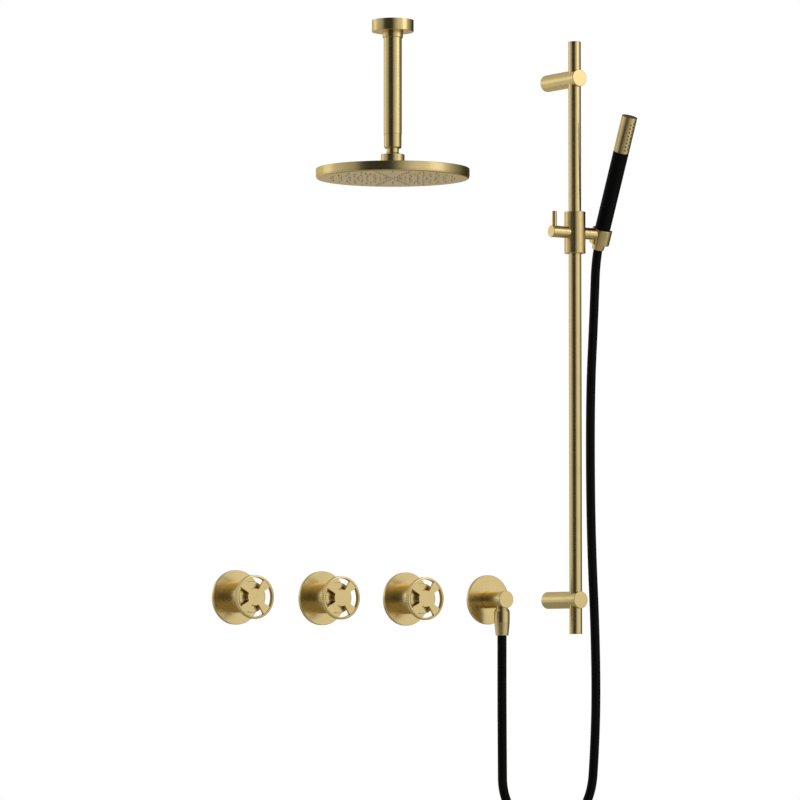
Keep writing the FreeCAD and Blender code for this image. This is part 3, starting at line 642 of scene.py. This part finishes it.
# ---------------------------------------------------------------- camera and studio
@dataclass
class Studio:
    """The camera, the surroundings that the metal reflects, the soft lights and the floor.

    Attributes:
        eye: where the camera stands.
        yaw: its heading, in degrees from +Y toward +X.
        pitch: how far it looks up, in degrees.
        lens: its focal length, in millimetres on a 36 mm sensor.
        floor_drop: how far the floor is below the set.
        floor_reach: the floor's radius.
        floor_sides: corners round the floor.
    """

    eye: Point = (-3.611, -5.648, -0.101)
    yaw: float = 33.602
    pitch: float = 3.386
    lens: float = 202.5
    floor_drop: float = 0.10
    floor_reach: float = 1.9
    floor_sides: int = 96

    def camera(self) -> None:
        """Makes the camera."""
        data = bpy.data.cameras.new("camera")
        data.lens = self.lens
        data.sensor_width = 36.0
        data.clip_start, data.clip_end = 0.1, 100.0
        camera = bpy.data.objects.new("camera", data)
        bpy.context.scene.collection.objects.link(camera)
        camera.location = self.eye
        camera.rotation_euler = (math.radians(90 + self.pitch), 0.0, -math.radians(self.yaw))
        bpy.context.scene.camera = camera

    def surroundings(self) -> None:
        """White background, and a studio of bright and dark panels by heading for the reflections."""
        world = bpy.data.worlds.new("studio")
        bpy.context.scene.world = world
        world.use_nodes = True
        tree = Tree(world.node_tree)
        way = tree.node("SeparateXYZ", Vector=tree.node("TexCoord").outputs["Generated"])
        x, y, z = way.outputs
        heading = tree.math("ARCTAN2", x, tree.math("MULTIPLY", y, -1.0))
        turn = tree.math("ADD", tree.math("DIVIDE", heading, 2 * math.pi), 0.5)

        def at(degrees: float) -> float:
            """The ramp's position of a heading from -Y toward +X."""
            return (degrees + 180.0) / 360.0

        panels = tree.ramp(turn, [
            (at(-180), grey(0.74)),
            (at(-140), grey(0.74)),
            (at(-92), grey(0.42)),
            (at(-80), grey(0.05)),
            (at(-34), grey(0.03)),
            (at(-24), grey(0.30)),
            (at(-2), grey(0.78)),
            (at(20), grey(0.86)),
            (at(33), grey(0.98)),
            (at(44), grey(0.90)),
            (at(62), grey(0.50)),
            (at(84), grey(0.20)),
            (at(104), grey(0.04)),
            (at(136), grey(0.03)),
            (at(146), grey(0.56)),
            (at(180), grey(0.74)),
        ], smooth=False)
        rise = tree.ramp(tree.math("ADD", tree.math("MULTIPLY", z, 0.5), 0.5), [
            (0.0, grey(0.85)),
            (0.45, grey(0.95)),
            (0.60, grey(1.0)),
            (0.85, grey(0.80)),
            (1.0, grey(0.70)),
        ])
        room = tree.node("Mix", data_type="RGBA", blend_type="MULTIPLY")
        tree.feed(room.inputs["Factor"], 1.0)
        tree.feed(room.inputs["A"], panels)
        tree.feed(room.inputs["B"], rise)
        seen = tree.node("LightPath").outputs["Is Camera Ray"]
        pick = tree.node("MixShader")
        tree.feed(pick.inputs[0], seen)
        dim = tree.node("Background", Strength=1.0)
        tree.feed(dim.inputs["Color"], room.outputs["Result"])
        white = tree.node("Background", Color=(1.0, 1.0, 1.0, 1.0), Strength=1.0)
        tree.feed(pick.inputs[1], dim.outputs[0])
        tree.feed(pick.inputs[2], white.outputs[0])
        tree.node("OutputWorld", Surface=pick.outputs[0])

    def soft_light(self, name: str, place: Point, target: Point, side: float, watts: float) -> None:
        """A square soft light that faces a point.

        Args:
            name: the light's name.
            place: where it is.
            target: what it faces.
            side: the length of its side.
            watts: its power.
        """
        data = bpy.data.lights.new(name, "AREA")
        data.shape = "SQUARE"
        data.size = side
        data.energy = watts
        lamp = bpy.data.objects.new(name, data)
        bpy.context.scene.collection.objects.link(lamp)
        lamp.location = place
        lamp.rotation_mode = "QUATERNION"
        lamp.rotation_quaternion = (Vector(target) - Vector(place)).to_track_quat("-Z", "Y")

    def floor(self, low: Vector, high: Vector) -> None:
        """A plain pale floor under the whole set, well below the hose.

        Args:
            low: the set's lowest corner.
            high: its highest corner.
        """
        middle = (low + high) / 2
        level = low.z - self.floor_drop
        verts = [(middle.x, middle.y, level)]
        for k in range(self.floor_sides):
            angle = 2 * math.pi * k / self.floor_sides
            across, along = self.floor_reach * math.cos(angle), self.floor_reach * math.sin(angle)
            verts.append((middle.x + across, middle.y + along, level))
        faces = [(0, 1 + k, 1 + (k + 1) % self.floor_sides) for k in range(self.floor_sides)]
        piece = mesh_piece("floor", verts, faces)
        paint = Polymer((0.90, 0.90, 0.89), roughness=0.75, grain=300.0, depth=0.02, vein=0.01)
        dress(piece, paint.make("floor"))
        piece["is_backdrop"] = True

    def build(self, low: Vector, high: Vector) -> None:
        """Everything round the object.

        Args:
            low: the object's lowest corner.
            high: its highest corner.
        """
        self.camera()
        self.surroundings()
        middle = tuple((low + high) / 2)
        self.soft_light("key", (2.2, -3.4, 2.0), middle, side=1.8, watts=9.0)
        self.soft_light("fill", (-2.2, 3.0, 1.2), middle, side=1.6, watts=3.0)
        self.floor(low, high)
        scene = bpy.context.scene
        scene.view_settings.view_transform = "Standard"
        scene.view_settings.look = "None"
        log.info("studio ready")


# ---------------------------------------------------------------- hose
@dataclass
class Hose:
    """The smooth black shower hose, and the short stretch of it up into the hand shower's nut.

    Attributes:
        diameter: its outside diameter.
        length: its real length; not used.
        route: control points from the cradle round the low bend to the outlet.
        sleeve_route: those of the short stretch up into the hand shower's nut.
        still_end: the point at the outlet that never moves; not used.
        still_rise: how far the cradle's end is above it; not used.
        branch_gap: how far apart the hose's two hanging runs are; not used.
        follow_share: how much height the change from still to moving takes, in metres; not used.
    """

    diameter: float = 0.014
    length: float = 1.25
    route: list[Point] = field(default_factory=lambda: [
        (0.4656, -0.0558, 0.4871),
        (0.4656, -0.0520, 0.4300),
        (0.4656, -0.0435, 0.3300),
        (0.4661, -0.0415, 0.2000),
        (0.4671, -0.0430, 0.0800),
        (0.4686, -0.0495, -0.0400),
        (0.4684, -0.0525, -0.1500),
        (0.4661, -0.0505, -0.2350),
        (0.4621, -0.0485, -0.2977),
        (0.4312, -0.0467, -0.3392),
        (0.3813, -0.0449, -0.3551),
        (0.3314, -0.0431, -0.3392),
        (0.3005, -0.0416, -0.2977),
        (0.3003, -0.0414, -0.2400),
        (0.2997, -0.0414, -0.1420),
        (0.3000, -0.0414, -0.0460),
    ])
    sleeve_route: list[Point] = field(default_factory=lambda: [
        (0.4656, -0.0690, 0.5542),
        (0.4656, -0.0577, 0.5275),
        (0.4656, -0.0558, 0.4871),
    ])
    still_end: Point = (0.300, -0.0414, -0.054)
    still_rise: float = 0.534
    branch_gap: float = 0.1656
    follow_share: float = 0.9

    def build(self, finishes: Finishes) -> None:
        """Args:
            finishes: the shared materials.
        """
        smooth_black = Polymer(BLACK, roughness=0.55, grain=2200.0, depth=0.05, specular=0.09)
        rubber = finishes.get("hose_rubber", smooth_black)
        points = spline_points(self.route)
        hose = swept_tube("hose_line", points, self.diameter / 2)
        dress(hose, rubber)
        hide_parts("hose")
        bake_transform(hose)
        sleeve = swept_tube("hose_neck", spline_points(self.sleeve_route), self.diameter / 2)
        dress(sleeve, rubber)
        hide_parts("hose_sleeve")
        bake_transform(sleeve)
        log.info("hose: %d points", len(points))


# ---------------------------------------------------------------- ring handles
@dataclass
class Wheel:
    """A ring handle: a thin ring with a toothed edge, and a flat cross of four wedge spokes on a round hub.

    Attributes:
        side: left, centre or right.
        ring_wall: the ring's thickness.
        ring_deep: how deep the ring is along the axis.
        teeth: how many teeth run round its edge.
        tooth: how deep they are.
        hub: the hub's radius.
        cross_drop: how far the cross sits behind the ring's face.
        cross_thick: how thick the cross is.
        spoke_half: half the angle that one spoke fills, in degrees.
        margin: how far the teeth stop short of each face.
        soft: the size of the ring's softened edges.
        bite: how far the spokes run into the ring.
        cross_bevel: the bevel round the cross's face.
    """

    side: str
    ring_wall: float = 0.0032
    ring_deep: float = 0.0068
    teeth: int = 62
    tooth: float = 0.0007
    hub: float = 0.01225
    cross_drop: float = 0.0007
    cross_thick: float = 0.0040
    spoke_half: float = 15.0
    margin: float = 0.0010
    soft: float = 0.0004
    bite: float = 0.0008
    cross_bevel: float = 0.00035

    def ring(self, shells: Shells, radius: float, face: float, place: Matrix) -> None:
        """The ring, with its teeth stopping short of both faces.

        Args:
            shells: what it is added to.
            radius: its outside radius.
            face: how far its face is from the wall.
            place: where it goes.
        """
        back = face - self.ring_deep
        inner = radius - self.ring_wall
        margin, soft = self.margin, self.soft
        half_way = back + self.ring_deep / 2
        band = [back + margin, back + margin + soft, half_way, face - margin - soft, face - margin]

        def shave(angle: float, height: float) -> float:
            """The depth of the toothed edge below its crests."""
            if height in (band[0], band[-1]):
                return 0.0
            return self.tooth * (1.0 - abs(math.sin(angle * self.teeth / 2)) ** 0.7)

        profile = [(inner, back + soft), (inner + soft, back), (radius - margin, back),
                   (radius - soft, back + soft / 2)]
        profile += [(radius, height) for height in band]
        profile += [(radius - soft / 2, face - soft), (radius - margin, face), (inner + soft, face),
                    (inner, face - soft)]
        shells.lathe(profile, place, steps=self.teeth * 8, shave=shave)

    def cross(self, radius: float) -> Profile:
        """The outline of the hub and its four spokes, which run into the ring.

        Args:
            radius: the ring's outside radius.

        Returns:
            Its corners, in order.
        """
        outline = []
        reach = radius - self.ring_wall + self.bite
        for quarter in range(4):
            middle = 45.0 + 90.0 * quarter
            for start, end, distance, steps in (
                (middle - self.spoke_half, middle + self.spoke_half, reach, 6),
                (middle + self.spoke_half, middle + 90.0 - self.spoke_half, self.hub, 10),
            ):
                for i in range(steps + 1):
                    angle = math.radians(start + (end - start) * i / steps)
                    outline.append((distance * math.cos(angle), distance * math.sin(angle)))
        return outline

    def build(self, finishes: Finishes) -> None:
        """Makes the handle in place of its node.

        Args:
            finishes: the shared materials.
        """
        node = "wheel_" + self.side
        low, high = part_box(node)
        radius, face, back = (high.x - low.x) / 2, -low.y, -high.y
        centre = ((low.x + high.x) / 2, 0.0, (low.z + high.z) / 2)
        place = Matrix.Translation(centre) @ Matrix.Rotation(math.radians(90), 4, "X")
        shells = Shells()
        self.ring(shells, radius, face, place)
        cross_face = face - self.cross_drop
        shells.slab(self.cross(radius), cross_face - self.cross_thick, cross_face, self.cross_bevel, place)
        neck = self.hub - 0.00005
        inside = cross_face - self.cross_thick / 2
        shells.lathe([(0.0, back), (neck - 0.0005, back), (neck, back + 0.0005), (neck, inside),
                      (0.0, inside)], place)
        piece = shells.piece("handle_" + self.side)
        dress(piece, finishes.get("brass_" + node, Brass(Grain.ROUND_Y, centre)))
        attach(piece, "handle_" + self.side)
        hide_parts(node)
        log.info("handle %s: %d teeth", self.side, self.teeth)


# ---------------------------------------------------------------- rubber nozzles
@dataclass
class Nozzles:
    """The rubber mat inside the rain head, whose nozzles come out through the face.

    Attributes:
        rings: rings of nozzles round the middle one.
        half_rings: how many of them have a nozzle on every second radial row only.
        rows: radial rows.
        turn: the angle of the first row, in degrees.
        base: a nozzle's radius at the face.
        tip: its radius at the tip.
        mat_thick: the mat's thickness.
        out: how far the nozzles come out of the face.
    """

    rings: int = 7
    half_rings: int = 3
    rows: int = 24
    turn: float = 11.4
    base: float = 0.0015
    tip: float = 0.00095
    mat_thick: float = 0.0015
    out: float = 0.0018

    def spots(self, pitch: float) -> list[tuple[float, float]]:
        """Where the nozzles are about the middle.

        Args:
            pitch: the distance from one ring to the next.

        Returns:
            Their places across the face.
        """
        found = [(0.0, 0.0)]
        for ring in range(1, self.rings + 1):
            count = self.rows // 2 if ring <= self.half_rings else self.rows
            for k in range(count):
                angle = math.radians(self.turn + 360.0 * k / count)
                found.append((pitch * ring * math.cos(angle), pitch * ring * math.sin(angle)))
        return found

    def build(self, finishes: Finishes) -> None:
        """Makes the mat in place of its node.

        Args:
            finishes: the shared materials.
        """
        low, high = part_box("nozzle_mat")
        middle = (low + high) / 2
        mat = (high.x - low.x) / 2
        pitch = mat / (self.rings + 0.5)
        under = high.z - self.mat_thick
        shells = Shells()
        centre = Matrix.Translation((middle.x, middle.y, 0.0))
        shells.lathe([(0.0, under), (mat, under), (mat, high.z), (0.0, high.z)], centre, steps=96)
        flare = self.out * 0.35
        profile = [(0.0, low.z), (self.tip * 0.45, low.z), (self.tip, low.z + 0.0003),
                   (self.base * 0.86, low.z + self.out - flare), (self.base, low.z + self.out),
                   (self.base, under + 0.0002), (0.0, under + 0.0002)]
        for x, y in self.spots(pitch):
            shells.lathe(profile, Matrix.Translation((middle.x + x, middle.y + y, 0.0)), steps=16)
        piece = shells.piece("rubber_nozzles")
        silicone = Polymer((0.86, 0.80, 0.64), 0.45, grain=1800.0, depth=0.04)
        dress(piece, finishes.get("nozzle_silicone", silicone))
        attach(piece, "rain_head")
        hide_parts("nozzle_mat")
        log.info("nozzles: %d", len(self.spots(pitch)))


@dataclass
class HandJets:
    """The two staggered rows of small rubber jets in the hand shower's head.

    Attributes:
        spot: the middle of the cradle's cup, on the hand shower's axis.
        lean: how far the axis leans out from the wall, in degrees.
        first: how far up the axis the highest jet is.
        pitch: the distance from one jet of a row to the next.
        per_row: jets in a row.
        spread: the angle of each row from the middle, in degrees.
        radius: a jet's radius.
        shell: the head's outside radius.
        bore: the head's inside radius.
        tube_wall: the thickness of the tube behind the jets.
        out: how far the jets come out of the head.
    """

    spot: Point = (0.4656, -0.0725, 0.5625)
    lean: float = LEAN
    first: float = 0.182
    pitch: float = 0.0058
    per_row: int = 8
    spread: float = 11.0
    radius: float = 0.0011
    shell: float = 0.012
    bore: float = 0.010
    tube_wall: float = 0.002
    out: float = 0.0003

    def build(self, finishes: Finishes) -> None:
        """Makes the jets and the tube behind them in place of their node.

        Args:
            finishes: the shared materials.
        """
        axis = Matrix.Translation(self.spot) @ Matrix.Rotation(math.radians(self.lean), 4, "X")
        shells = Shells()
        tube = self.bore - 0.0003
        low = self.first - self.pitch * self.per_row - 0.002
        high = self.first + 0.004
        inside = tube - self.tube_wall
        shells.lathe([(inside, low), (tube, low), (tube, high), (inside, high)], axis, steps=48)
        tip = self.shell + self.out
        profile = [(0.0, tube - 0.0005), (self.radius, tube - 0.0005), (self.radius, tip - self.out),
                   (self.radius * 0.8, tip - 0.0001), (self.radius * 0.45, tip), (0.0, tip - 0.0002)]
        for lane in (0, 1):
            for i in range(self.per_row):
                height = Matrix.Translation((0.0, 0.0, self.first - self.pitch * (i + 0.5 * lane)))
                aside = Matrix.Rotation(math.radians(self.spread * (1 - 2 * lane)), 4, "Z")
                outward = Matrix.Rotation(math.radians(90), 4, "X")
                shells.lathe(profile, axis @ height @ aside @ outward, steps=14)
        piece = shells.piece("rubber_jets")
        silicone = Polymer((0.030, 0.026, 0.018), 0.5, grain=1800.0, depth=0.04)
        dress(piece, finishes.get("jet_silicone", silicone))
        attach(piece, "hand_shower")
        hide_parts("hand_jets")
        log.info("hand jets: %d", 2 * self.per_row)


# ---------------------------------------------------------------- brass of the frame's own pieces
class FrameDress:
    """Gives every node of the frame the finish that the real piece has."""

    def __init__(self, nodes: dict[str, bpy.types.Object], finishes: Finishes) -> None:
        """Keeps the nodes and the shared materials.

        Args:
            nodes: the frame's nodes by name.
            finishes: the shared materials.
        """
        self.nodes = nodes
        self.finishes = finishes

    def brass(self, node: str, grain: Grain, tilt: float = 0.0) -> None:
        """Brass on one node, with its lines about the middle of its own box.

        Args:
            node: the node.
            grain: which way its lines run.
            tilt: how far it leans about X, in degrees.
        """
        low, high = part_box(node)
        finish = Brass(grain, tuple((low + high) / 2), tilt)
        dress(self.nodes[node], self.finishes.get("brass_" + node, finish))

    def build(self) -> None:
        """Dresses every node."""
        for node in ("ceiling_flange", "arm_collar", "ceiling_bush", "arm_sleeve", "ball_stem", "swivel_nut",
                     "head_shell", "face_plate", "rail_caps", "hose_nut_lower"):
            self.brass(node, Grain.ROUND_Z)
        for node in ("shower_arm", "rail_tube", "slider_body", "clamp_lever"):
            self.brass(node, Grain.ALONG_Z)
        for side in SIDES:
            for part in ("valve_body_", "headwork_", "wall_plate_", "sleeve_", "spindle_", "wheel_"):
                self.brass(part + side, Grain.ROUND_Y)
        for node in ("outlet_plate", "outlet_tail", "bracket_lower", "bracket_upper", "bracket_bases",
                     "outlet_elbow"):
            self.brass(node, Grain.ROUND_Y)
        self.brass("clamp_knob", Grain.ALONG_X)
        self.brass("holder_cradle", Grain.ALONG_X, tilt=LEAN)
        for node in ("hand_head", "hose_nut_upper"):
            self.brass(node, Grain.ALONG_Z, tilt=LEAN)
        plain = {
            "white_nylon": Polymer((0.82, 0.81, 0.78), 0.45),
            "cream_silicone": Polymer((0.80, 0.74, 0.60), 0.5),
            "clear_seal": Polymer((0.70, 0.70, 0.68), 0.35),
            "dark_silicone": Polymer((0.03, 0.028, 0.022), 0.55),
            "black_grip": Polymer(BLACK, 0.55, specular=0.09),
            "grey_plastic": Polymer((0.30, 0.30, 0.30), 0.5),
            "black_hose": Polymer(BLACK, 0.55, specular=0.09),
            "steel_screw": Steel(),
        }
        for name, node in self.nodes.items():
            kept = node.material_slots[0].material.name if node.material_slots else ""
            slot = kept.split(".")[0]
            if slot in plain:
                dress(node, self.finishes.get("finish_" + slot, plain[slot]))
        log.info("dressed %d nodes", len(self.nodes))


def main() -> None:
    """Builds the whole set in order."""
    logging.basicConfig(level=logging.INFO, format="%(name)s: %(message)s")
    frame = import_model()
    cad_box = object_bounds()
    finishes = Finishes()
    Studio().build(*cad_box)
    Hose().build(finishes)
    for side in SIDES:
        Wheel(side).build(finishes)
    Nozzles().build(finishes)
    HandJets().build(finishes)
    FrameDress(frame["nodes"], finishes).build()


if __name__ == "__main__":
    main()
